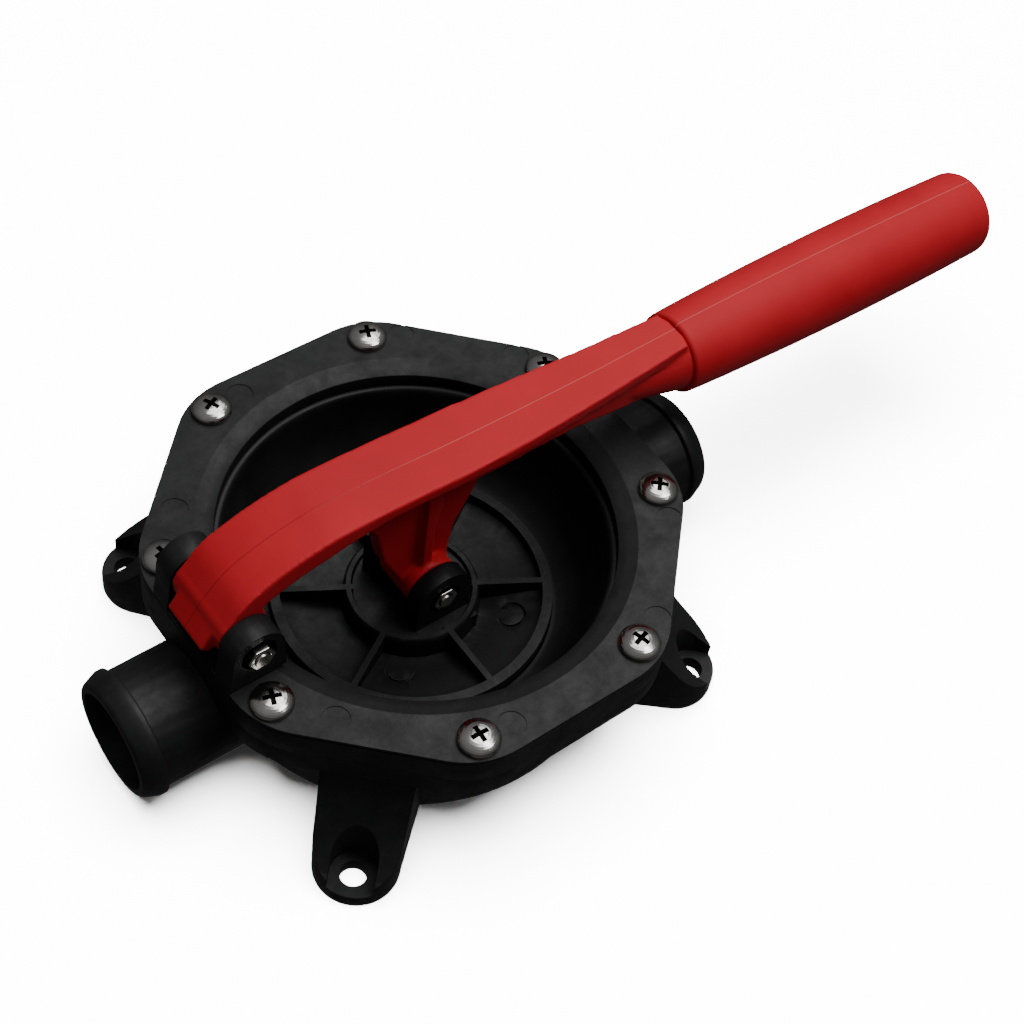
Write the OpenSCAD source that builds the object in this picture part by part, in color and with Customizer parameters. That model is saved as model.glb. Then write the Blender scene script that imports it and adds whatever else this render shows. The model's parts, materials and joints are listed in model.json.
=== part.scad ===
// Manual bilge pump: a diaphragm pump worked by a hand lever.
// Millimetres, +Z up. The origin is the centre of the bowl on the mounting plane,
// +X runs along the two hose tubes and along the lever towards its grip.

/* [Pump body] */
// Outer radius of the hose tubes, for a 38 mm hose
port_r = 19.3; // [15:0.05:26]
// Bore radius of the hose tubes
port_bore_r = 16; // [12:0.1:22]
// Height of the hose tubes' axis above the mounting plane
port_z = 26.6; // [22:0.1:34]
// Distance from the centre to each tube's mouth
port_reach = 108; // [95:0.5:120]
// Radius over the raised lip at each mouth
lip_r = 20.7; // [19:0.1:24]
// Inner radius of the bowl
bowl_r = 62.5; // [55:0.1:75]
// Thickness of the bowl's floor
floor_t = 2.8; // [2:0.1:6]
// Distance from the centre to the flange's flat sides
flat_r = 80.3; // [75:0.1:95]
// Radius of the flange's rounded corners
corner_r = 28; // [10:1:40]
// Height of the flange's underside
skirt_z = 38.7; // [30:0.1:44]
// Height of the joint between body and clamp ring
parting_z = 46.4; // [40:0.1:54]

/* [Mounting feet] */
// Circle radius of the four mounting holes
foot_hole_at = 93.5; // [90:0.5:110]
// Radius of each mounting hole
foot_hole_r = 4.2; // [2:0.1:6]
// Width of a foot at its tip
foot_w = 27; // [20:0.5:35]
// Thickness of a foot under the bolt head
pad_t = 5; // [3:0.5:10]

/* [Clamp ring] */
// Height of the ring's top face
ring_top = 56.6; // [50:0.1:64]
// Radius of the ring's opening
opening_r = 62.1; // [50:0.1:70]
// Circle diameter of the eight clamp screws
screw_pcd = 155; // [140:1:170]
// Radius of a clamp screw's shank
screw_r = 3; // [2:0.1:4]

/* [Lever] */
// Place of the lever's hinge pin, along X
hinge_x = -70.3; // [-80:0.1:-60]
// Height of the lever's hinge pin
hinge_z = 69; // [62:0.1:78]
// Width of the lever's top face
lever_w = 25.4; // [18:0.1:32]
// Thickness of the lever's top flange
flange_t = 4.5; // [3:0.1:8]
// Where the grip's collar starts, along X
collar_x = 95.4; // [85:0.1:110]
// Length of the grip
grip_len = 136.6; // [100:0.1:160]
// Radius of the grip at its collar
grip_r = 13.6; // [12:0.1:18]

/* [Diaphragm plate] */
// Outer radius of the plate's rim
plate_r = 45.3; // [40:0.1:52]
// Height of the rim's top when the lever is down
plate_top = 24.2; // [20:0.1:30]
// Place of the clevis pin, along X
clevis_x = 1.4; // [-5:0.1:8]
// Height of the clevis pin when the lever is down
clevis_z = 33.5; // [30:0.1:40]

/* [Hidden] */
$fn = 96;
eps = 0.01;
black = [0.13, 0.13, 0.14];
rubber = [0.05, 0.05, 0.055];
red = [0.78, 0.08, 0.09];
steel = [0.76, 0.75, 0.73];
nylon = [0.82, 0.81, 0.76];

wall = 3.5;                     // bowl wall
bead_r = 68;                    // outer radius of the diaphragm's clamped bead
bead_top = 50;                  // height of the bead's top
plate_floor = 16;               // height of the dish floor's top
plate_under = 13.4;             // height of the plate's underside
rubber_t = 2.2;                 // thickness of the rubber
backing_top = plate_under - rubber_t;
backing_z = 8.2;                // underside of the backing plate
pin_r = 2.5;                    // both lever pins and the plate bolt
pin_fit = 0.05;                 // running clearance of a pin in its bush
bush_r = 5;
lever_half = lever_w / 2;
ear_in = 13.1;                  // inner faces of the ring's two ears
ear_out = 21;
ear_r = 8.5;
clevis_in = 9;                  // inner faces of the plate's two ears
clevis_out = 15;
clevis_r = 10.3;
nut_af = 10;
nut_r = nut_af / 2 / cos(30);
pin_nut_af = 8;
pin_nut_r = pin_nut_af / 2 / cos(30);
grip_z = 78.7;                  // height of the grip's axis at its collar
grip_dip = 1.69;                // angle that the grip's axis falls below level
valve_in_x = -92;               // upstream face of the inlet valve's seat
valve_out_x = 66;
seat_t = 3;
valve_pin_z = port_z + 12.3;

// ---- helpers ----

// A point between p1 and p2 of a smooth curve through p0, p1, p2 and p3
function between(p0, p1, p2, p3, t) =
    0.5 * (2 * p1 + (p2 - p0) * t + (2 * p0 - 5 * p1 + 4 * p2 - p3) * t * t
        + (3 * p1 - p0 - 3 * p2 + p3) * t * t * t);

// A smooth curve through the points of p, with n steps between neighbours
function smooth_curve(p, n) = [
    for (i = [0:len(p) - 2], k = [0:n - 1])
        between(p[max(i - 1, 0)], p[i], p[i + 1], p[min(i + 2, len(p) - 1)], k / n),
    p[len(p) - 1]];

function reversed(p) = [for (i = [len(p) - 1:-1:0]) p[i]];

// The curve p moved sideways by d, to the right of its direction
function beside(p, d) = [
    for (i = [0:len(p) - 1])
        let (v = p[min(i + 1, len(p) - 1)] - p[max(i - 1, 0)])
        p[i] + d * [v[1], -v[0]] / norm(v)];

// A side profile drawn in X and Z, given thickness y0 to y1 along Y
module side_slab(y0, y1) {
    translate([0, y1, 0]) rotate([90, 0, 0]) linear_extrude(y1 - y0) children();
}

module rod_y(x, z, r, y0, y1) {
    translate([x, y1, z]) rotate([90, 0, 0]) cylinder(r = r, h = y1 - y0);
}

module hex_y(x, z, y0, y1) {
    translate([x, y1, z]) rotate([90, 0, 0]) cylinder(r = pin_nut_r, h = y1 - y0, $fn = 6);
}

module tube_y(x, z, r_out, r_in, y0, y1) {
    difference() {
        rod_y(x, z, r_out, y0, y1);
        rod_y(x, z, r_in, y0 - 1, y1 + 1);
    }
}

module around_screws() {
    for (k = [0:7]) rotate(22.5 + 45 * k) translate([screw_pcd / 2, 0, 0]) children();
}

// The octagon with rounded corners that the flange and the ring share
module octagon(inset = 0) {
    reach = (flat_r - corner_r) / cos(22.5);
    r = corner_r - inset;
    polygon([for (k = [0:7], s = [-1, 1])
        let (a = 22.5 + 45 * k, b = a + 22.5 * s)
        reach * [cos(a), sin(a)] + r * [cos(b), sin(b)]]);
    for (k = [0:7]) rotate(22.5 + 45 * k) translate([reach, 0]) circle(r);
}

// ---- pump body ----

foot_tip_at = 88;
foot_root_at = 60;
foot_root_w = 31;
foot_wall_z = 8.5;              // height of the walls beside the bolt head
foot_rise_at = 101;             // where the walls start to rise towards the flange
foot_meet_at = 74;              // where they meet the flange's underside
channel_r = 7.2;

// Height of a foot's side walls at radius r
function foot_height(r) = foot_wall_z
    + (skirt_z - foot_wall_z) * pow((foot_rise_at - r) / (foot_rise_at - foot_meet_at), 1.4);

module foot() {
    rise = [for (i = [0:8]) let (r = foot_rise_at - (foot_rise_at - foot_meet_at) * i / 8)
        [r, foot_height(r)]];
    difference() {
        intersection() {
            linear_extrude(skirt_z + 1) {
                polygon([[foot_root_at, -foot_root_w / 2], [foot_tip_at, -foot_w / 2],
                    [foot_tip_at, foot_w / 2], [foot_root_at, foot_root_w / 2]]);
                translate([foot_tip_at, 0]) circle(foot_w / 2);
            }
            side_slab(-foot_root_w, foot_root_w)
                polygon(concat([[foot_root_at, 0], [110, 0], [110, foot_wall_z]], rise,
                    [[foot_root_at, skirt_z]]));
        }
        translate([foot_hole_at, 0, pad_t]) cylinder(r = channel_r, h = skirt_z);
        translate([foot_hole_at, -channel_r, pad_t]) cube([20, 2 * channel_r, skirt_z]);
        translate([foot_hole_at, 0, -1]) cylinder(r = foot_hole_r, h = skirt_z);
    }
}

// The solid of one hose tube, from inside the bowl wall to its mouth
module port_solid() {
    lip_from = 7.2;             // from the mouth back to the lip's rear edge
    land_to = 5.4;              // from the mouth back to the end of the lip's land
    rotate([0, 90, 0]) rotate_extrude()
        polygon([[0, bowl_r - 1], [port_r, bowl_r - 1], [port_r, port_reach - lip_from - 0.5],
            [lip_r, port_reach - lip_from], [lip_r, port_reach - land_to],
            [19.1, port_reach - 1.3], [18.5, port_reach - 0.4], [17.8, port_reach],
            [0, port_reach]]);
}

module port_bore() {
    translate([bowl_r - 4, 0, 0]) rotate([0, 90, 0]) cylinder(r = port_bore_r, h = 60);
}

module pump_body() {
    color(black) difference() {
        union() {
            cylinder(r = bowl_r + wall, h = skirt_z + 1);
            translate([0, 0, skirt_z]) linear_extrude(parting_z - skirt_z) octagon();
            for (k = [0:3]) rotate(45 + 90 * k) foot();
            for (s = [0, 180]) rotate(s) translate([0, 0, port_z]) port_solid();
        }
        translate([0, 0, floor_t]) cylinder(r = bowl_r, h = parting_z);
        for (s = [0, 180]) rotate(s) translate([0, 0, port_z]) port_bore();
        around_screws() {
            cylinder(r = screw_r + 0.3, h = parting_z + 1);
            translate([0, 0, skirt_z - 1]) cylinder(r = nut_r, h = 6, $fn = 6);
        }
    }
}

// ---- clamp ring and its screws ----

ear_foot_x = [-80.2, -61.1];    // where an ear meets the ring, along X
nut_pocket = 4.2;               // depth of the recess for a nut or bolt head
pocket_r = 5.8;

module ear_profile() {
    left = hinge_x - ear_r;
    right = hinge_x + ear_r;
    translate([hinge_x, hinge_z]) circle(ear_r);
    polygon([[ear_foot_x[0], ring_top - 3], [ear_foot_x[0], ring_top + 1.5],
        [left - 0.6, ring_top + 6], [left, hinge_z], [right, hinge_z],
        [right + 0.3, ring_top + 6], [ear_foot_x[1], ring_top], [ear_foot_x[1], ring_top - 3]]);
}

module clamp_ring() {
    band_r = 68;
    groove = 0.8;               // depth of the line moulded round the ring's edge
    dish = 2.1;                 // how far the opening's edge lies below the top face
    mark_r = 4.3;
    marks = [[78.5, 30.7], [78.4, 59.1], [75, 104.4], [74, 143.6]];
    color(black) difference() {
        union() {
            translate([0, 0, parting_z])
                linear_extrude(ring_top - parting_z) octagon();
            for (s = [0, 1]) mirror([0, s, 0])
                side_slab(ear_in, ear_out) ear_profile();
        }
        translate([0, 0, parting_z - 1]) cylinder(r = bead_r + 0.3, h = bead_top - parting_z + 1);
        translate([0, 0, parting_z]) cylinder(r = opening_r, h = 30);
        translate([0, 0, ring_top]) rotate_extrude()
            polygon([[opening_r - 1, -dish], [opening_r, -dish], [band_r, 0], [band_r, 1],
                [opening_r - 1, 1]]);
        translate([0, 0, ring_top - 1.7]) linear_extrude(0.7) difference() {
            circle(flat_r + 9);
            octagon(groove);
        }
        around_screws() translate([0, 0, parting_z - 1]) cylinder(r = screw_r + 0.3, h = 20);
        for (m = marks, s = [-1, 1]) rotate(s * m[1])
            translate([m[0], 0, ring_top - 0.3]) cylinder(r = mark_r, h = 1);
        rod_y(hinge_x, hinge_z, pin_r + 0.1, -30, 30);
        for (s = [0, 1]) mirror([0, s, 0])
            rod_y(hinge_x, hinge_z, pocket_r, ear_out - nut_pocket, ear_out + 1);
    }
}

module clamp_screws() {
    head_r = 6.5;
    head_h = 3.6;
    slot_w = 1.5;
    slot_len = 5.6;
    slot_depth = 2.6;
    tip_z = 37.6;
    turns = [41, 0, 3, 30, 48, 20, -7, -20];    // where each screw's cross came to rest
    color(steel) for (k = [0:7]) rotate(22.5 + 45 * k) translate([screw_pcd / 2, 0, 0]) difference() {
        union() {
            translate([0, 0, ring_top]) rotate_extrude()
                polygon(concat([[0, 0], [head_r, 0], [head_r, 0.9]],
                    [for (a = [10:10:90]) [head_r * cos(a), 0.9 + (head_h - 0.9) * sin(a)]]));
            translate([0, 0, tip_z]) cylinder(r = screw_r, h = ring_top - tip_z + 0.5);
        }
        for (a = [0, 90]) rotate(a + turns[k]) translate([0, 0, ring_top + head_h])
            cube([slot_len, slot_w, 2 * slot_depth], center = true);
    }
}

module clamp_nuts() {
    color(steel) around_screws() difference() {
        translate([0, 0, skirt_z]) cylinder(r = nut_r, h = 5, $fn = 6);
        translate([0, 0, skirt_z - 1]) cylinder(r = screw_r, h = 7);
    }
}

// ---- diaphragm and its plates ----

// Inner face of the rubber from the plate's edge up to the bead
skin = smooth_curve([[plate_r + 0.6, plate_under], [49.5, 15.2], [54.2, 22], [57.8, 32],
    [59.4, 42], [60, bead_top - 3]], 4);

module diaphragm() {
    color(rubber) rotate_extrude()
        polygon(concat([[12.6, backing_top], [12.6, plate_under]], skin,
            [[60.4, bead_top - 0.8], [61.2, bead_top], [bead_r, bead_top],
             [bead_r, parting_z], [bowl_r - 0.2, parting_z]],
            reversed(beside(skin, rubber_t))));
}

module diaphragm_plate() {
    rim_w = 3.2;
    hub_r = 21.7;
    rib_w = 2;
    lug_out = 19.9;
    floor_rise = 4.2;           // how much higher the dish floor lies at the rim than at the hub
    mark_r = 4.8;
    marks = [[28.5, -132], [32.7, -46]];
    difference() {
        color(black) union() {
            difference() {
                translate([0, 0, plate_under]) cylinder(r = plate_r, h = plate_top - plate_under);
                rotate_extrude()
                    polygon([[0, plate_floor], [hub_r, plate_floor],
                        [plate_r - rim_w, plate_floor + floor_rise], [plate_r - rim_w, 40], [0, 40]]);
            }
            for (k = [0:5]) rotate(30 + 60 * k)
                translate([hub_r - 3, -rib_w / 2, plate_floor - 1])
                    cube([plate_r - rim_w - hub_r + 4, rib_w, plate_top - plate_floor + 1]);
            translate([0, 0, plate_floor - 1]) rotate_extrude()
                polygon([[0, 0], [hub_r + 0.9, 0], [hub_r, 8.4], [hub_r - 0.7, 9.2],
                    [hub_r - 2.2, 9.2], [hub_r - 2.8, 7.8], [0, 7.8]]);
            for (s = [0, 1]) mirror([0, s, 0]) {
                side_slab(clevis_in, clevis_out) {
                    translate([clevis_x, clevis_z]) circle(clevis_r);
                    translate([clevis_x - clevis_r, plate_floor])
                        square([2 * clevis_r, clevis_z - plate_floor]);
                }
                side_slab(clevis_out - 1, lug_out)
                    translate([clevis_x - clevis_r, plate_floor - 1])
                        square([2 * clevis_r, plate_top - plate_floor - 0.2]);
            }
        }
        translate([0, 0, plate_under - 1]) cylinder(r = 12.3, h = 4.1);
        translate([0, 0, plate_under]) cylinder(r = pin_r, h = 9.2);
        for (m = marks) rotate(m[1]) translate([m[0], 0, plate_floor + 1.5]) difference() {
            cylinder(r = mark_r, h = 2);
            translate([0, 0, -1]) cylinder(r = mark_r - 0.6, h = 4);
        }
        rod_y(clevis_x, clevis_z, pin_r + 0.1, -30, 30);
        for (s = [0, 1]) mirror([0, s, 0])
            rod_y(clevis_x, clevis_z, pocket_r, clevis_out - 3.5, clevis_out + 1);
    }
}

module backing_plate() {
    edge = 1.4;
    disc_r = 43;
    color(black) difference() {
        rotate_extrude()
            polygon([[0, backing_z], [disc_r - edge, backing_z], [disc_r, backing_z + edge],
                [disc_r, backing_top], [12, backing_top], [12, 16.5], [0, 16.5]]);
        translate([0, 0, backing_z - 1]) cylinder(r = 7.4, h = 5.4);
        cylinder(r = pin_r + 0.2, h = 20);
    }
}

module plate_bolt() {
    color(steel) {
        translate([0, 0, backing_z + 0.3]) cylinder(r = pin_nut_r, h = 3.3, $fn = 6);
        translate([0, 0, backing_z + 3]) cylinder(r = pin_r, h = 11.2);
    }
}

module plate_bolt_washer() {
    color(steel) translate([0, 0, backing_z + 3.6]) difference() {
        cylinder(r = 6.9, h = 0.8);
        translate([0, 0, -1]) cylinder(r = pin_r + 0.2, h = 3);
    }
}

// ---- lever and grip ----

line_steps = 6;                 // pieces between neighbouring points of the lever's top line

// The lever's top line from its hinge end to the collar, in X and Z
top_line = smooth_curve([[-82.4, 65.6], [-78.6, 71], [-74.4, 76.6], [-68, 82.8], [-58, 87.4],
    [-46, 90.4], [-34, 91.6], [-11, 91], [6, 90], [33, 89.4], [60, 89.4], [78, 89.9],
    [collar_x - 0.4, 90.5]], line_steps);
full_from = line_steps;         // first point of the top line at the full width
cheek_to = 3 * line_steps + 2;  // last point of the top line over the hinge's cheek
web_from = 4 * line_steps;      // first point of the top line over the web
box_points = 4 * line_steps;    // points of the top line over the box section
web_to = 10 * line_steps;       // last point of the top line over the web, and first over the neck
// Underside of the box section between the leg and the collar
box_line = [[collar_x - 0.6, 69.8], [86, 72.2], [68, 75.4], [51, 79.4], [34, 81.1], [8, 82.2]];
neck_from = 72;                 // where the arm starts to widen into a round neck
neck_r = [7.6, 12.3];           // the neck's radius there and at the collar
neck_line = [[60, 76.4], [neck_from, 74.2], [86, 70.4], [collar_x, 66.2], [collar_x + 1, 66],
    [collar_x + 1, 90.6]];
leg_half = 8.2;                 // half the length of the boss round the clevis pin
leg_rib_half = 6.2;
tang_len = 60;

// Thickness of the top flange's edge: deeper towards the hinge
function flange_depth(x) = flange_t + 3.2 * min(1, max(0, (-20 - x) / 22));

// The lever seen from above, narrower towards the collar
module lever_plan(inset) {
    half = lever_half - inset;
    collar_half = 7.7 - inset;
    edge = [[-90, half], [8, half - 0.2], [30, half - 0.9], [58, half - 2.6], [collar_x, collar_half]];
    polygon(concat(edge, reversed([for (p = edge) [p[0], -p[1]]])));
}

module grip_frame() {
    translate([collar_x, 0, grip_z]) rotate([0, 90 + grip_dip, 0]) children();
}

module lever() {
    full_line = [for (i = [full_from:len(top_line) - 1]) top_line[i]];
    inward = beside(full_line, 1) - full_line;
    flange_under = [for (i = [0:len(full_line) - 1])
        full_line[i] + flange_depth(full_line[i][0]) * inward[i]];
    cheek = [for (i = [full_from:cheek_to]) top_line[i]];
    color(red) difference() {
        union() {
            intersection() {
                side_slab(-20, 20) polygon(concat(full_line, reversed(flange_under)));
                linear_extrude(120) lever_plan(0);
            }
            intersection() {
                side_slab(-20, 20) polygon(concat(
                    [for (i = [0:box_points - 1]) top_line[len(top_line) - 1 - i] - [0, 2]],
                    reversed(box_line)));
                linear_extrude(120) lever_plan(1.4);
            }
            intersection() {
                grip_frame() translate([0, 0, neck_from - collar_x])
                    cylinder(r1 = neck_r[0], r2 = neck_r[1], h = collar_x - neck_from + 0.5);
                side_slab(-20, 20) polygon(concat(neck_line,
                    [for (i = [len(top_line) - 1:-1:web_to]) top_line[i]]));
            }
            side_slab(-lever_half, lever_half) {
                polygon(concat(cheek, [[hinge_x + 8.2, hinge_z], [hinge_x - 8, hinge_z]]));
                translate([hinge_x, hinge_z]) circle(8.2);
            }
            side_slab(-9, 9)
                polygon([top_line[0], top_line[full_from], [hinge_x, hinge_z], [hinge_x - 7, hinge_z - 6],
                    [hinge_x - 9.5, hinge_z - 6]]);
            side_slab(-3.2, 3.2)
                polygon(concat([for (i = [web_from:web_to]) top_line[i] - [0, 2]],
                    [[24, 81], [17.4, 64], [11.4, 51], [clevis_x + 8.6, clevis_z],
                     [clevis_x - 9, clevis_z + 2], [-14.6, 50], [-18, 66], [-24, 75], [-34, 80],
                     [-48, 80.5], [-60, 79.5]]));
            rod_y(clevis_x, clevis_z, 9.2, -leg_half, leg_half);
            side_slab(-leg_rib_half, leg_rib_half)
                polygon([[clevis_x - 3.2, clevis_z], [clevis_x - 3.2, 87], [clevis_x + 5, 87],
                    [clevis_x + 2.2, 70], [clevis_x + 0.4, 58], [clevis_x + 0.4, clevis_z]]);
            grip_frame() translate([-7, -6, -6]) cube([14, 12, tang_len + 6]);
        }
        rod_y(hinge_x, hinge_z, bush_r, -20, 20);
        rod_y(clevis_x, clevis_z, bush_r, -20, 20);
    }
}

// Radius of the grip at a distance s from its collar
function grip_radius(s) = let (t = s / grip_len)
    grip_r * (1 - t) * (1 - 2 * t) + 4 * 15.6 * t * (1 - t) + 14.9 * t * (2 * t - 1);

module grip() {
    end_round = 3.2;
    collar_round = 0.9;
    steps = 14;
    body_to = grip_len - end_round;
    color(red) grip_frame() difference() {
        rotate_extrude()
            polygon(concat([[0, 0], [grip_r - collar_round, 0]],
                [for (i = [0:steps]) let (s = collar_round + (body_to - collar_round) * i / steps)
                    [grip_radius(s), s]],
                [for (a = [15:15:90]) [grip_radius(body_to) - end_round * (1 - cos(a)),
                    body_to + end_round * sin(a)]],
                [[0, grip_len]]));
        translate([-7, -6, -1]) cube([14, 12, tang_len + 1]);
    }
}

// ---- lever pins ----

module hinge_bolt() {
    head_in = ear_out - nut_pocket;
    color(steel) {
        rod_y(hinge_x, hinge_z, pin_r, -ear_out - 2.4, head_in + 1);
        hex_y(hinge_x, hinge_z, head_in, head_in + 4);
    }
}

module hinge_washer() {
    y = -ear_out + nut_pocket;
    color(steel) tube_y(hinge_x, hinge_z, 5.2, pin_r + 0.2, y - 1.2, y);
}

module hinge_nut() {
    y = -ear_out + nut_pocket - 1.2;
    color(steel) difference() {
        hex_y(hinge_x, hinge_z, y - 4.8, y);
        rod_y(hinge_x, hinge_z, pin_r, y - 9, y + 1);
    }
}

module hinge_bush() {
    color(nylon) tube_y(hinge_x, hinge_z, bush_r, pin_r + pin_fit, -lever_half, lever_half);
}

module clevis_bolt() {
    head_in = clevis_out - 3.5;
    color(steel) {
        rod_y(clevis_x, clevis_z, pin_r, -clevis_out - 1.3, head_in + 1);
        hex_y(clevis_x, clevis_z, head_in, head_in + 4);
    }
}

module clevis_washer() {
    y = -clevis_out + 3.5;
    color(steel) tube_y(clevis_x, clevis_z, 5.2, pin_r + 0.2, y - 1, y);
}

module clevis_nut() {
    y = -clevis_out + 2.5;
    color(steel) difference() {
        hex_y(clevis_x, clevis_z, y - 3.2, y);
        rod_y(clevis_x, clevis_z, pin_r, y - 6, y + 1);
    }
}

module clevis_bush() {
    color(nylon) tube_y(clevis_x, clevis_z, bush_r, pin_r + pin_fit, -leg_half, leg_half);
}

// ---- valves: the same flap valve twice, each opening towards +X ----

module valve_seat(x) {
    lug_y = 5;
    lug_w = 2.2;
    color(black) translate([x, 0, 0]) {
        difference() {
            translate([0, 0, port_z]) rotate([0, 90, 0]) cylinder(r = port_bore_r, h = seat_t);
            translate([-1, 0, port_z]) rotate([0, 90, 0]) cylinder(r = 9.5, h = seat_t + 2);
        }
        difference() {
            for (s = [0, 1]) mirror([0, s, 0])
                translate([seat_t - 1, lug_y, valve_pin_z - 2])
                    cube([5, lug_w, 3.8]);
            rod_y(seat_t + 2.1, valve_pin_z, 0.9, -20, 20);
        }
    }
}

module valve_flap(x) {
    flap_r = 13.6;
    flap_t = 2;
    knuckle_half = 4.6;
    color(rubber) translate([x + seat_t, 0, 0]) difference() {
        union() {
            difference() {
                translate([0.1, 0, port_z]) rotate([0, 90, 0]) cylinder(r = flap_r, h = flap_t);
                translate([-1, -20, valve_pin_z - 2.4]) cube([5, 40, 20]);
            }
            translate([0.1, -knuckle_half, valve_pin_z - 3]) cube([flap_t, 2 * knuckle_half, 3]);
            rod_y(2.1, valve_pin_z, 1.7, -knuckle_half, knuckle_half);
        }
        rod_y(2.1, valve_pin_z, 0.95, -20, 20);
    }
}

module valve_pin(x) {
    color(steel) rod_y(x + seat_t + 2.1, valve_pin_z, 0.9, -7.2, 7.2);
}

module inlet_valve_seat() valve_seat(valve_in_x);
module inlet_valve_flap() valve_flap(valve_in_x);
module inlet_valve_pin() valve_pin(valve_in_x);
module outlet_valve_seat() valve_seat(valve_out_x);
module outlet_valve_flap() valve_flap(valve_out_x);
module outlet_valve_pin() valve_pin(valve_out_x);

pump_body();
clamp_ring();
clamp_screws();
clamp_nuts();
diaphragm();
diaphragm_plate();
backing_plate();
plate_bolt();
plate_bolt_washer();
lever();
grip();
hinge_bolt();
hinge_nut();
hinge_washer();
hinge_bush();
clevis_bolt();
clevis_nut();
clevis_washer();
clevis_bush();
inlet_valve_seat();
inlet_valve_flap();
inlet_valve_pin();
outlet_valve_seat();
outlet_valve_flap();
outlet_valve_pin();
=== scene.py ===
"""Manual bilge pump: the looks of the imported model, its camera, light and floor. Metres, +Z up."""

import json
from math import cos, pi, radians, sin

import bmesh
import bpy
from mathutils import Matrix, Vector


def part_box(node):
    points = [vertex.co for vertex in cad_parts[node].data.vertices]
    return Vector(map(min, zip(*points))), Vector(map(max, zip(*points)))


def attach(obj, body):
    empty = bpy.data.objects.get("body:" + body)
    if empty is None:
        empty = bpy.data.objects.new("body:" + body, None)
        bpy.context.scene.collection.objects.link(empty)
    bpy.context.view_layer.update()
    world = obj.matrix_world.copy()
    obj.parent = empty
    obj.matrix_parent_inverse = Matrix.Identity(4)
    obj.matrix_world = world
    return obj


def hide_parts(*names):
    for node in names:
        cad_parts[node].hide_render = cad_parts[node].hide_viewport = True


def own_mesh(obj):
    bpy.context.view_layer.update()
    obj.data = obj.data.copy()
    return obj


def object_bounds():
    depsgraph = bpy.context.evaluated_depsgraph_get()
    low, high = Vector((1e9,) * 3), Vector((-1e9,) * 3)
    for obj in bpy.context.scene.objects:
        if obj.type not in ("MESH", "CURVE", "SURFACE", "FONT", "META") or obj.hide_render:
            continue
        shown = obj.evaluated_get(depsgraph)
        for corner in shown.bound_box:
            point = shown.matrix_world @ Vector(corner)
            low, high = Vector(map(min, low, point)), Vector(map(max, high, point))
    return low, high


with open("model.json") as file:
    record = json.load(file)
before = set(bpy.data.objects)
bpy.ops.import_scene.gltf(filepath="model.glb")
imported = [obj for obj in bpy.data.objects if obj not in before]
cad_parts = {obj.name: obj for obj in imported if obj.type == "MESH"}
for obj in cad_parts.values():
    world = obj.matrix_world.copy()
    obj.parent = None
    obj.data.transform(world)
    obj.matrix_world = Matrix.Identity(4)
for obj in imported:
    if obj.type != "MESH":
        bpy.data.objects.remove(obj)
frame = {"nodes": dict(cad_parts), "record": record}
CAD_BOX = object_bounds()
NODES = frame["nodes"]
MM = 0.001

# ---- camera, light and floor ----

CAMERA_AT = Vector((-0.2260, -0.2666, 0.5172))
CAMERA_HEADING = radians(-134.8)  # where the camera stands, seen from the object
CAMERA_ELEVATION = radians(52.06)
CAMERA_ROLL = radians(9.98)
LENS_MM = 66.37


def make_camera():
    flat = cos(CAMERA_ELEVATION)
    back = Vector((flat * cos(CAMERA_HEADING), flat * sin(CAMERA_HEADING), sin(CAMERA_ELEVATION)))
    right = Vector((0, 0, 1)).cross(back).normalized()
    up = back.cross(right)
    rolled_right = cos(CAMERA_ROLL) * right + sin(CAMERA_ROLL) * up
    rolled_up = cos(CAMERA_ROLL) * up - sin(CAMERA_ROLL) * right
    data = bpy.data.cameras.new("camera")
    data.lens = LENS_MM
    data.sensor_width = 36
    data.clip_start = 0.01
    data.clip_end = 50
    cam = bpy.data.objects.new("camera", data)
    cam.matrix_world = Matrix((
        (rolled_right.x, rolled_up.x, back.x, CAMERA_AT.x),
        (rolled_right.y, rolled_up.y, back.y, CAMERA_AT.y),
        (rolled_right.z, rolled_up.z, back.z, CAMERA_AT.z),
        (0, 0, 0, 1),
    ))
    bpy.context.collection.objects.link(cam)
    bpy.context.scene.camera = cam


def area_light(name, at, towards, size, watts):
    data = bpy.data.lights.new(name, "AREA")
    data.shape = "SQUARE"
    data.size = size
    data.energy = watts
    light = bpy.data.objects.new(name, data)
    light.location = at
    light.rotation_euler = (Vector(towards) - Vector(at)).to_track_quat("-Z", "Y").to_euler()
    bpy.context.collection.objects.link(light)


# the room's grey, from straight down (0) to straight up (1)
ROOM_GREYS = ((0.0, 0.10), (0.38, 0.09), (0.5, 0.05), (1.0, 0.30))
# name, place, what it points at, side of its square, watts
SOFT_BOXES = (
    ("ceiling", (0.55, 0.2, 1.9), (0, 0, 0), 1.2, 19),
    ("key_box", (0.50, -0.45, 1.30), (0, 0, 0.05), 0.5, 6.5),
    ("back_box", (0.75, 0.45, 1.15), (0, 0, 0.05), 0.6, 2.5),
)


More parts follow.
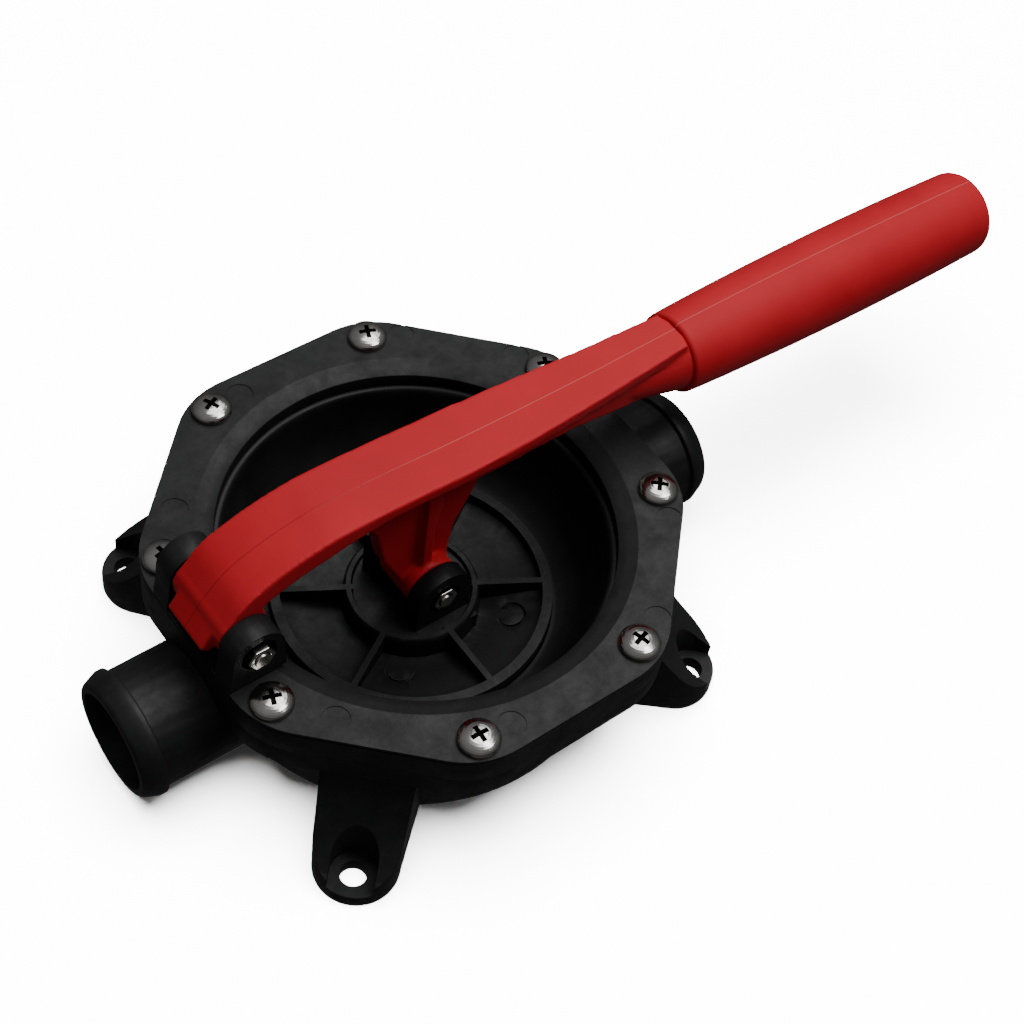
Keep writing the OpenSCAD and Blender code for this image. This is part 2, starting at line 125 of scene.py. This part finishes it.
def make_lights():
    """A dim room that is brighter overhead, a wide ceiling light and two soft boxes on the +X side."""
    world = bpy.data.worlds.new("studio")
    world.use_nodes = True
    tree = world.node_tree
    coords = tree.nodes.new("ShaderNodeTexCoord")
    split = tree.nodes.new("ShaderNodeSeparateXYZ")
    height = tree.nodes.new("ShaderNodeMapRange")
    height.inputs["From Min"].default_value = -1
    fade = tree.nodes.new("ShaderNodeValToRGB")
    while len(fade.color_ramp.elements) < len(ROOM_GREYS):
        fade.color_ramp.elements.new(0.5)
    for element, (place, grey) in zip(fade.color_ramp.elements, ROOM_GREYS):
        element.position = place
        element.color = (grey, grey, grey, 1)
    tree.links.new(coords.outputs["Generated"], split.inputs["Vector"])
    tree.links.new(split.outputs["Z"], height.inputs["Value"])
    tree.links.new(height.outputs["Result"], fade.inputs["Fac"])
    tree.links.new(fade.outputs["Color"], tree.nodes["Background"].inputs["Color"])
    bpy.context.scene.world = world
    for box in SOFT_BOXES:
        area_light(*box)


FLOOR_PROFILE = ((0, 0), (2.6, 0), (3.2, 0.08), (3.7, 0.35), (4.1, 0.9), (4.3, 1.6), (4.4, 3.2))
FLOOR_STEPS = 96
FLOOR_GAP = 0.2 * MM  # how far the floor lies under the feet
FLOOR_LIGHT_WATTS = 4800
FLOOR_LIGHT_RADIUS = 1.2
FLOOR_LIGHT_HEIGHT = 2.6


def make_floor():
    """A pale floor that curves up far away; it lights nothing and has a light of its own."""
    mesh = lathe(FLOOR_PROFILE, FLOOR_STEPS)
    mesh.materials.append(floor_material())
    floor = bpy.data.objects.new("floor", mesh)
    floor.location.z = CAD_BOX[0][2] - FLOOR_GAP
    floor.visible_diffuse = False
    floor.visible_glossy = False
    bpy.context.collection.objects.link(floor)
    only_floor = bpy.data.collections.new("lit_by_floor_light")
    only_floor.objects.link(floor)
    data = bpy.data.lights.new("floor_light", "POINT")
    data.energy = FLOOR_LIGHT_WATTS
    data.shadow_soft_size = FLOOR_LIGHT_RADIUS
    floor_light = bpy.data.objects.new("floor_light", data)
    floor_light.location = (0, 0, FLOOR_LIGHT_HEIGHT)
    bpy.context.collection.objects.link(floor_light)
    floor_light.light_linking.receiver_collection = only_floor


# ---- materials ----


class Surface:
    """A Principled material with a few helpers for its procedural nodes."""

    def __init__(self, name):
        self.mat = bpy.data.materials.new(name)
        self.mat.use_nodes = True
        self.tree = self.mat.node_tree
        self.shader = self.tree.nodes["Principled BSDF"]
        self.coords = self.tree.nodes.new("ShaderNodeTexCoord")

    def set(self, **values):
        for key, value in values.items():
            self.shader.inputs[key.replace("_", " ")].default_value = value
        return self

    def noise(self, scale, detail=4, roughness=0.55, distortion=0.0, stretch=None):
        node = self.tree.nodes.new("ShaderNodeTexNoise")
        node.inputs["Scale"].default_value = scale
        node.inputs["Detail"].default_value = detail
        node.inputs["Roughness"].default_value = roughness
        node.inputs["Distortion"].default_value = distortion
        source = self.coords.outputs["Object"]
        if stretch:
            mapping = self.tree.nodes.new("ShaderNodeMapping")
            mapping.inputs["Scale"].default_value = stretch
            self.tree.links.new(source, mapping.inputs["Vector"])
            source = mapping.outputs["Vector"]
        self.tree.links.new(source, node.inputs["Vector"])
        return node.outputs["Fac"]

    def ramp(self, source, stops):
        node = self.tree.nodes.new("ShaderNodeValToRGB")
        ramp = node.color_ramp
        while len(ramp.elements) < len(stops):
            ramp.elements.new(0.5)
        for element, (place, colour) in zip(ramp.elements, stops):
            element.position = place
            element.color = (*colour, 1)
        self.tree.links.new(source, node.inputs["Fac"])
        return node.outputs["Color"]

    def remap(self, source, low, high, start=0.3, end=0.7):
        node = self.tree.nodes.new("ShaderNodeMapRange")
        node.inputs["From Min"].default_value = start
        node.inputs["From Max"].default_value = end
        node.inputs["To Min"].default_value = low
        node.inputs["To Max"].default_value = high
        self.tree.links.new(source, node.inputs["Value"])
        return node.outputs["Result"]

    def mix(self, fac, a, b):
        node = self.tree.nodes.new("ShaderNodeMix")
        node.data_type = "RGBA"
        self.tree.links.new(fac, node.inputs["Factor"])
        for socket, value in ((node.inputs["A"], a), (node.inputs["B"], b)):
            if isinstance(value, tuple):
                socket.default_value = (*value, 1)
            else:
                self.tree.links.new(value, socket)
        return node.outputs["Result"]

    def axis(self, name):
        """One coordinate of the surface point, in metres."""
        node = self.tree.nodes.new("ShaderNodeSeparateXYZ")
        self.tree.links.new(self.coords.outputs["Object"], node.inputs["Vector"])
        return node.outputs[name]

    def math(self, operation, a, b=0.0):
        node = self.tree.nodes.new("ShaderNodeMath")
        node.operation = operation
        for socket, value in zip(node.inputs, (a, b)):
            if isinstance(value, (int, float)):
                socket.default_value = value
            else:
                self.tree.links.new(value, socket)
        return node.outputs["Value"]

    def band(self, value, half):
        """1 where value is near 0, falling to 0 at half on each side."""
        return self.remap(self.math("ABSOLUTE", value), 1.0, 0.0, half * 0.4, half)

    def link(self, source, key):
        self.tree.links.new(source, self.shader.inputs[key])

    def bump(self, source, strength, distance):
        node = self.tree.nodes.new("ShaderNodeBump")
        node.inputs["Strength"].default_value = strength
        node.inputs["Distance"].default_value = distance
        self.tree.links.new(source, node.inputs["Height"])
        previous = self.shader.inputs["Normal"].links
        if previous:
            self.tree.links.new(previous[0].from_socket, node.inputs["Normal"])
        self.tree.links.new(node.outputs["Normal"], self.shader.inputs["Normal"])


BODY_TONE = 0.5  # how light each black plastic is, against the greys below
# the two plates in the bowl get a darker tone of the same plastic: painted shade
PLATE_SHADE_TONE = 0.22
BLACK_GREYS = (
    (0.013, 0.0135, 0.014), (0.020, 0.0205, 0.021), (0.032, 0.0325, 0.033), (0.045, 0.046, 0.047),
)


def glass_filled_plastic(name, tone):
    """Satin near-black nylon with glass fibre: cloudy flow marks and a fine matt grain."""
    s = Surface(name)
    clouds = s.noise(120, 7, 0.72, 0.3)
    streaks = s.noise(26, 4, 0.6, 1.2, (1.0, 2.4, 1.0))
    dark, middle, pale, streak = (tuple(tone * c for c in grey) for grey in BLACK_GREYS)
    base = s.ramp(clouds, [(0.3, dark), (0.55, middle), (0.8, pale)])
    flowed = s.mix(s.remap(streaks, 0.0, 0.4, 0.5, 0.75), base, streak)
    fibres = s.noise(420, 3, 0.7, 0.6)
    s.link(s.mix(s.remap(fibres, 0.0, 0.35, 0.55, 0.75), flowed, streak), "Base Color")
    s.link(s.remap(clouds, 0.60, 0.44, 0.3, 0.72), "Roughness")
    s.link(s.remap(clouds, 0.23, 0.31, 0.3, 0.72), "Specular IOR Level")
    s.bump(s.noise(2200, 2, 0.5), 0.18, 0.00012)
    s.bump(clouds, 0.10, 0.0004)
    return s.mat


def moulded_rubber():
    """Smooth black rubber with a faint dusty bloom."""
    s = Surface("moulded_rubber")
    dust = s.noise(60, 5, 0.6)
    s.link(s.ramp(dust, [(0.35, (0.006, 0.006, 0.0065)), (0.75, (0.012, 0.012, 0.013))]), "Base Color")
    s.link(s.remap(dust, 0.44, 0.56), "Roughness")
    s.set(Specular_IOR_Level=0.28)
    s.bump(s.noise(1500, 2, 0.5), 0.10, 0.0001)
    return s.mat


PARTING_HALF = 0.22 * MM  # half the width of the red mouldings' parting line
PARTING_PROUD = 0.10 * MM


def red_plastic():
    """Satin red moulding: faint flow clouds, a fine grain and the mould's parting line along y = 0,
    coloured with painted shade towards the hinge end and a painted highlight towards the grip end.
    """
    s = Surface("red_plastic")
    clouds = s.noise(30, 4, 0.55)
    base = s.ramp(clouds, [(0.3, (0.48, 0.012, 0.020)), (0.7, (0.56, 0.019, 0.028))])
    line = s.band(s.axis("Y"), PARTING_HALF)
    # painted light: the parting line is painted dark below x = -45 mm (hinge end) and pale above x = 10 mm
    # (grip end)
    wear_and_painted_light = s.remap(s.axis("X"), 0.0, 1.0, -0.045, 0.01)
    shade = s.mix(wear_and_painted_light, (0.20, 0.006, 0.010), (0.75, 0.20, 0.19))
    s.link(s.mix(s.remap(line, 0.0, 0.45, 0.0, 1.0), base, shade), "Base Color")
    s.link(s.remap(clouds, 0.48, 0.58), "Roughness")
    s.set(Specular_IOR_Level=0.15)
    s.bump(s.noise(1800, 2, 0.5), 0.12, 0.0001)
    s.bump(line, 0.6, PARTING_PROUD)
    return s.mat


def stainless():
    """Bright stainless, slightly uneven."""
    s = Surface("stainless")
    fine = s.noise(900, 3, 0.6)
    wear_and_painted_light = s.noise(160, 4, 0.6)
    s.link(s.ramp(wear_and_painted_light, [(0.3, (0.34, 0.325, 0.31)), (0.7, (0.50, 0.48, 0.46))]), "Base Color")
    s.link(s.remap(wear_and_painted_light, 0.13, 0.22), "Roughness")
    s.set(Metallic=1.0)
    s.bump(fine, 0.08, 0.00005)
    return s.mat


def recess_painted_shade():
    """Painted shade: a near-black, matt surface for the walls and floor of a screw's cross, where the steel
    lies in shade.
    """
    s = Surface("recess_painted_shade")
    shade_mottle = s.noise(300, 3, 0.6)
    s.link(s.ramp(shade_mottle, [(0.3, (0.004, 0.004, 0.004)), (0.7, (0.010, 0.009, 0.009))]), "Base Color")
    s.set(Roughness=0.8, Specular_IOR_Level=0.1)
    return s.mat


def natural_nylon():
    """Off-white nylon with a slight cloudiness."""
    s = Surface("natural_nylon")
    clouds = s.noise(90, 3, 0.5)
    s.link(s.ramp(clouds, [(0.3, (0.60, 0.58, 0.50)), (0.7, (0.70, 0.68, 0.60))]), "Base Color")
    s.link(s.remap(clouds, 0.35, 0.5), "Roughness")
    s.bump(clouds, 0.05, 0.0001)
    return s.mat


def floor_material():
    s = Surface("studio_floor")
    clouds = s.noise(3, 2, 0.5)
    s.link(s.ramp(clouds, [(0.3, (0.94, 0.94, 0.94)), (0.7, (0.96, 0.96, 0.96))]), "Base Color")
    s.set(Roughness=0.9, Specular_IOR_Level=0.1)
    return s.mat


MATERIALS = {
    "body_plastic": glass_filled_plastic("glass_filled_plastic", BODY_TONE),
    "rubber": moulded_rubber(),
    "red_plastic": red_plastic(),
    "stainless": stainless(),
    "nylon": natural_nylon(),
}
PLATE_SHADED_PLASTIC = glass_filled_plastic("plate_plastic_painted_shade", PLATE_SHADE_TONE)
SLOT_OF = {row["node"]: row["material_slot"] for row in frame["record"]["subparts"]}
BODY_OF = {
    node: body for body, nodes in frame["record"]["behaviour"]["bodies"].items() for node in nodes
}


# ---- pieces ----


def link_piece(name, mesh, node):
    """A mesh that stands for a CAD node, in the material of the node's slot; the node is hidden."""
    mesh.materials.clear()
    mesh.materials.append(MATERIALS[SLOT_OF[node]])
    piece = bpy.data.objects.new(name, mesh)
    bpy.context.collection.objects.link(piece)
    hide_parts(node)
    return piece


LEVER_VOXEL = 0.55 * MM
LEVER_ROUNDS = 5
LEVER_KEEP = 0.35  # share of the remeshed triangles kept


def softened(name, node, voxel, rounds, keep):
    """A copy of a CAD node with every edge rounded, as a moulding has them."""
    source = bpy.data.objects.new(name + "_source", NODES[node].data.copy())
    bpy.context.collection.objects.link(source)
    remesh = source.modifiers.new("voxels", "REMESH")
    remesh.mode = "VOXEL"
    remesh.voxel_size = voxel
    smooth = source.modifiers.new("smooth", "SMOOTH")
    smooth.factor = 0.5
    smooth.iterations = rounds
    thin = source.modifiers.new("thin", "DECIMATE")
    thin.ratio = keep
    graph = bpy.context.evaluated_depsgraph_get()
    mesh = bpy.data.meshes.new_from_object(source.evaluated_get(graph))
    bpy.data.objects.remove(source)
    mesh.shade_smooth()
    piece = link_piece(name, mesh, node)
    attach(piece, BODY_OF[node])
    return piece


def lathe(profile, steps, matrix=None):
    """A surface of revolution about Z from (radius, height) points; a radius of 0 closes an end."""
    bm = bmesh.new()
    rings = []
    for radius, height in profile:
        if radius == 0:
            rings.append([bm.verts.new((0, 0, height))] * steps)
            continue
        rings.append([
            bm.verts.new((radius * cos(2 * pi * k / steps), radius * sin(2 * pi * k / steps), height))
            for k in range(steps)
        ])
    for low, high in zip(rings, rings[1:]):
        for k in range(steps):
            corners = [low[k], low[(k + 1) % steps], high[(k + 1) % steps], high[k]]
            unique = list(dict.fromkeys(corners))
            if len(unique) > 2:
                bm.faces.new(unique)
    bmesh.ops.recalc_face_normals(bm, faces=bm.faces)
    if matrix:
        bmesh.ops.transform(bm, matrix=matrix, verts=bm.verts)
    mesh = bpy.data.meshes.new("lathe")
    bm.to_mesh(mesh)
    bm.free()
    mesh.shade_smooth()
    return mesh


def curve_points(points, steps):
    """A smooth curve (Catmull-Rom) through points, with steps between neighbours."""
    made = []
    for i in range(len(points) - 1):
        p0, p1 = points[max(i - 1, 0)], points[i]
        p2, p3 = points[i + 1], points[min(i + 2, len(points) - 1)]
        for k in range(steps):
            t = k / steps
            made.append(tuple(
                0.5 * (
                    2 * b + (c - a) * t + (2 * a - 5 * b + 4 * c - d) * t * t
                    + (3 * b - a - 3 * c + d) * t ** 3
                )
                for a, b, c, d in zip(p0, p1, p2, p3)
            ))
    made.append(tuple(points[-1]))
    return made


# The rubber's hole; at full lift the plate rises 35.0 of the rubber's 38.8 mm.
# Wider than the CAD's 12.6 mm, and hidden between the plates. The plates slide 8.3 mm along +X as they rise
# and the rubber only flattens along Z, so this leaves room for the bolt. The plate's rim still runs up to
# 7.4 mm into the rubber's wall on the +X side between the ends of the stroke.
RUBBER_HOLE_R = 16 * MM
RUBBER_STEPS = 144
CURVE_STEPS = 6


def make_diaphragm():
    """The rubber from the plate's edge, up the bowl's wall, over a rolled crest and under the ring."""
    low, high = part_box("diaphragm")
    bead_r, bead_top, under = high.x, high.z, low.z
    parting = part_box("clamp_ring")[0].z
    plate_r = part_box("diaphragm_plate")[1].x
    thick = 2.2 * MM
    floor_in = [(RUBBER_HOLE_R, under + thick), (plate_r + 0.3 * MM, under + thick)]
    inner = floor_in + curve_points([
        (plate_r + 0.35 * MM, under + 8.8 * MM), (plate_r + 2.2 * MM, under + 9.2 * MM),
        (plate_r + 5.2 * MM, under + 10.9 * MM), (plate_r + 8.9 * MM, under + 14.8 * MM),
        (plate_r + 12.5 * MM, under + 22.6 * MM), (plate_r + 14.1 * MM, under + 30.8 * MM),
        (plate_r + 14.8 * MM, bead_top - 2.6 * MM), (plate_r + 15.4 * MM, bead_top - 0.9 * MM),
        (plate_r + 16.4 * MM, bead_top - 0.4 * MM), (plate_r + 17.4 * MM, bead_top - 0.4 * MM),
    ], CURVE_STEPS)
    outer = curve_points([
        (bead_r - 5.6 * MM, parting + 0.1 * MM), (plate_r + 16.6 * MM, bead_top - 6 * MM),
        (plate_r + 16.3 * MM, under + 30 * MM), (plate_r + 14.7 * MM, under + 21 * MM),
        (plate_r + 11.0 * MM, under + 11.6 * MM), (plate_r + 6.0 * MM, under + 3.4 * MM),
        (plate_r + 0.6 * MM, under), (RUBBER_HOLE_R, under),
    ], CURVE_STEPS)
    bead = [(bead_r, bead_top - 1.2 * MM), (bead_r, parting + 0.1 * MM)]
    mesh = lathe([*inner, *bead, *outer, inner[0]], RUBBER_STEPS)
    piece = link_piece("rubber_diaphragm", mesh, "diaphragm")
    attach(piece, BODY_OF["diaphragm"])
    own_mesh(piece)


GRIP_DIP = radians(1.69)  # the handle slopes down by this towards its end
GRIP_AXIS_Z = 78.7 * MM
GRIP_ROWS = 28
GRIP_STEPS = 96


def make_grip():
    """The grip: a collar with a rounded lip, a slightly barrelled handle and a domed end."""
    low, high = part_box("grip")
    collar = 13.6 * MM
    fullest = 15.6 * MM
    end = 14.9 * MM
    lip, edge = 1.5 * MM, 3.4 * MM
    length = (high.x - low.x - (collar + end - edge) * sin(GRIP_DIP)) / cos(GRIP_DIP)

    def radius(t):
        return collar * (1 - t) * (1 - 2 * t) + 4 * fullest * t * (1 - t) + end * t * (2 * t - 1)

    profile = [(0, 0), (collar - 4 * MM, 0), (collar - lip, 0)]
    for turn in (pi / 8, pi / 4, 3 * pi / 8, pi / 2):
        profile.append((collar - lip * (1 - sin(turn)), lip * (1 - cos(turn))))
    body = length - edge
    for row in range(1, GRIP_ROWS):
        t = lip / length + (body - lip) / length * row / GRIP_ROWS
        profile.append((radius(t), t * length))
    last = radius(body / length)
    for turn in (0, pi / 10, pi / 5, 3 * pi / 10, 2 * pi / 5):
        profile.append((last - edge * (1 - cos(turn)), body + edge * sin(turn)))
    profile += [(last - edge - 0.2 * MM, length), ((last - edge) * 0.5, length), (0, length)]
    place = Matrix.Translation((low.x + collar * sin(GRIP_DIP), 0, GRIP_AXIS_Z))
    axis = place @ Matrix.Rotation(pi / 2 + GRIP_DIP, 4, "Y")
    piece = link_piece("hand_grip", lathe(profile, GRIP_STEPS, axis), "grip")
    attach(piece, BODY_OF["grip"])


SHARP = radians(35)  # an edge turning by more than this is rounded
EDGE_WIDTHS = {
    "pump_body": 0.5 * MM, "clamp_ring": 0.5 * MM, "diaphragm_plate": 0.35 * MM, "backing_plate": 0.4 * MM,
    "hinge_nut": 0.45 * MM, "clevis_nut": 0.45 * MM, "hinge_bolt": 0.8 * MM, "clevis_bolt": 0.8 * MM,
    "hinge_washer": 0.25 * MM, "clevis_washer": 0.25 * MM,
}


def round_edges(node, width):
    """Small rounded edges on a CAD node, which keeps its mesh."""
    piece = NODES[node]
    weld = piece.modifiers.new("weld", "WELD")
    weld.merge_threshold = 0.002 * MM
    bevel = piece.modifiers.new("rounded_edges", "BEVEL")
    bevel.width = width
    bevel.segments = 2
    bevel.limit_method = "ANGLE"
    bevel.angle_limit = SHARP
    bevel.harden_normals = True


CROSS_REACH = 3.3 * MM  # farther from a screw's axis than its cross goes
CROSS_DEPTH = 2.8 * MM
CROSS_FLOOR = 2.2 * MM  # a level face deeper than this is the cross's floor
SCREW_PCD = 155 * MM
SCREWS = 8


def darken_crosses():
    """Give the walls and floor of every screw's cross a near-black painted shade; the mesh stays as it is.
    """
    piece = NODES["clamp_screws"]
    piece.data.materials.append(recess_painted_shade())
    turns = [2 * pi * (k + 0.5) / SCREWS for k in range(SCREWS)]
    axes = [Vector((cos(turn), sin(turn), 0)) * SCREW_PCD / 2 for turn in turns]
    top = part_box("clamp_screws")[1].z
    to_world = piece.matrix_world
    for face in piece.data.polygons:
        middle = to_world @ face.center
        off = min((Vector((middle.x, middle.y, 0)) - axis).length for axis in axes)
        upright = abs(face.normal.z) < 0.2
        deep = middle.z < top - CROSS_FLOOR and face.normal.z > 0.9
        if off < CROSS_REACH and middle.z > top - CROSS_DEPTH and (upright or deep):
            face.material_index = 1


def dress_nodes():
    """Each CAD node gets the material of its record's slot; the two plates get a darker copy of it as
    painted shade, and the screws' crosses a near-black painted shade.
    """
    for name, node in NODES.items():
        node.data.materials.clear()
        node.data.materials.append(MATERIALS[SLOT_OF[name]])
    # painted shade: the plates down in the bowl get the darker copy of the body plastic
    for name in ("diaphragm_plate", "backing_plate"):
        NODES[name].data.materials[0] = PLATE_SHADED_PLASTIC
    darken_crosses()
    for name, width in EDGE_WIDTHS.items():
        round_edges(name, width)


make_camera()
make_lights()
make_floor()
dress_nodes()
softened("hand_lever", "lever", LEVER_VOXEL, LEVER_ROUNDS, LEVER_KEEP)
make_grip()
make_diaphragm()
